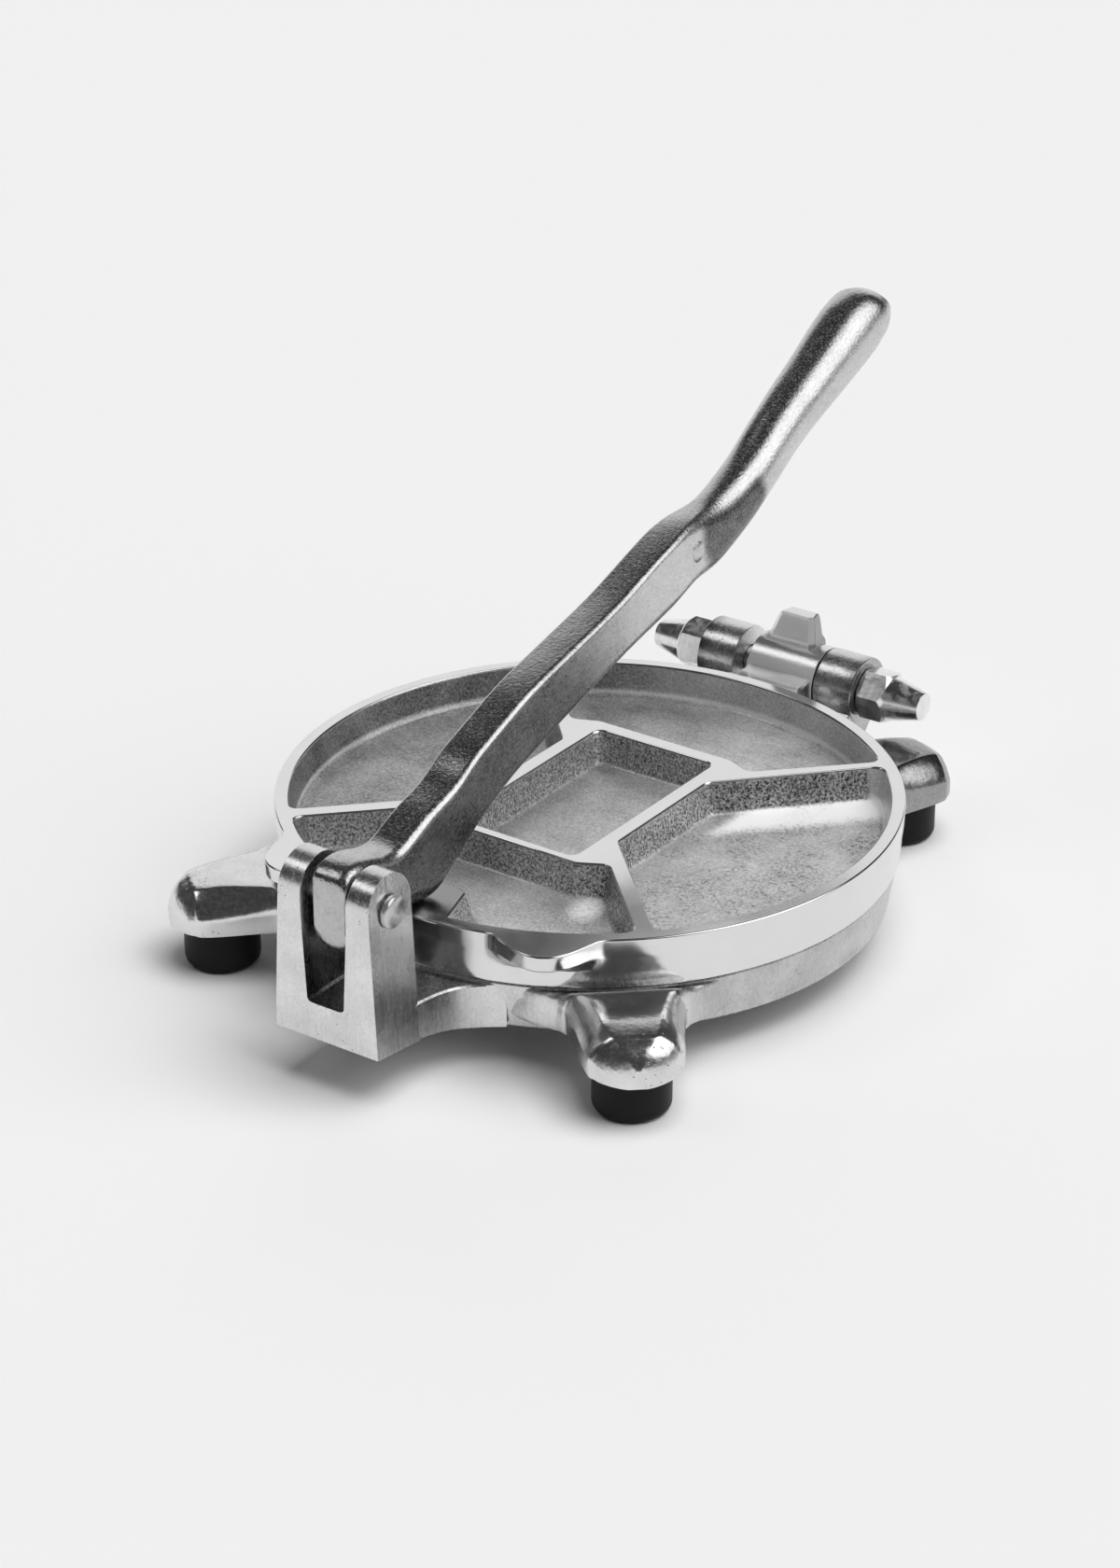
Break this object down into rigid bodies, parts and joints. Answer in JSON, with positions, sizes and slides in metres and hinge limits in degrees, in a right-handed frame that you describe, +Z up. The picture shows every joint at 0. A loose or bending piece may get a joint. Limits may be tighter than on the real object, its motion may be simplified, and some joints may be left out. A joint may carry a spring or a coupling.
{
  "type": "tortilla press",
  "caption": "Cast hand press: footed round base, hinged upper plate with wells and thumb lips, and a long pivoting lever in a clevis at the front.",
  "frame": {"origin": "on the floor under the feet, below the middle of the press's overall length and width", "axes": "+Z up, +X along the hinge rod to the right, +Y from the lever's clevis towards the plate's hinge"},
  "size_m": [0.2, 0.3014, 0.1674],
  "materials": {
    "base_casting": "brushed and polished casting",
    "top_plate": "polished rim and ribs, rough cast wells",
    "lever_handle": "polished casting, slightly grainy",
    "hinge_rod": "plain steel",
    "cone_nut": "bright turned metal",
    "clevis_pin": "riveted head, satin",
    "rubber_foot": "matte black"
  },
  "bodies": {
    "base": {"base_casting": "base_casting", "hinge_rod": "hinge_rod", "cone_nut_left": "cone_nut", "cone_nut_right": "cone_nut", "clevis_pin": "clevis_pin", "rubber_foot_front_left": "rubber_foot", "rubber_foot_front_right": "rubber_foot", "rubber_foot_rear_left": "rubber_foot", "rubber_foot_rear_right": "rubber_foot"},
    "plate": {"top_plate": "top_plate"},
    "lever": {"lever_handle": "lever_handle"}
  },
  "joints": [
    {"name": "lever_pivot", "type": "hinge", "parent": "base", "child": "lever", "pos_m": [0, -0.14049, 0.062], "axis": [1, 0, 0], "range_deg": [0, 160]},
    {"name": "plate_hinge", "type": "hinge", "parent": "base", "child": "plate", "pos_m": [0, 0.10561, 0.0413], "axis": [-1, 0, 0], "range_deg": [0, 23]}
  ],
  "couplings": [
    {"joint": "plate_hinge", "follows": "lever_pivot", "ratio": 0.14286}
  ]
}
